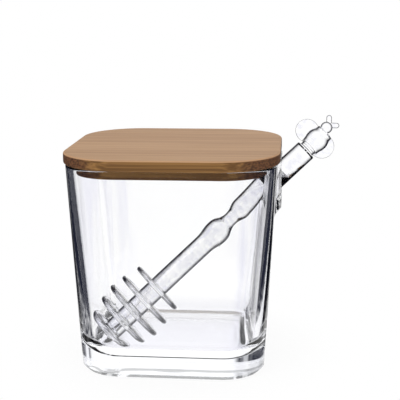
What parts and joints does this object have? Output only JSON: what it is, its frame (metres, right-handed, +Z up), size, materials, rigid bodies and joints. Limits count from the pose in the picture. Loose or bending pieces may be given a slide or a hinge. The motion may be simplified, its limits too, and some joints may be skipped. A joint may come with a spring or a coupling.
{
  "type": "honey pot with lid and dipper",
  "caption": "Square clear glass honey pot with a notched rim, a flat bamboo lid that plugs the mouth, and a glass dipper with a bee that leans out through the notch.",
  "frame": {"origin": "middle of the jar's flat base, on the surface it stands on", "axes": "+Z up; +X towards the wall with the notch, where the dipper leans out; -Y is the front"},
  "size_m": [0.1277, 0.1, 0.1152],
  "materials": {
    "glass": "clear pressed glass with softly rounded edges",
    "bamboo": "sanded laminated bamboo, grain running left to right"
  },
  "bodies": {
    "root": {"jar": "glass", "lid": "bamboo", "dipper": "glass"}
  },
  "joints": []
}
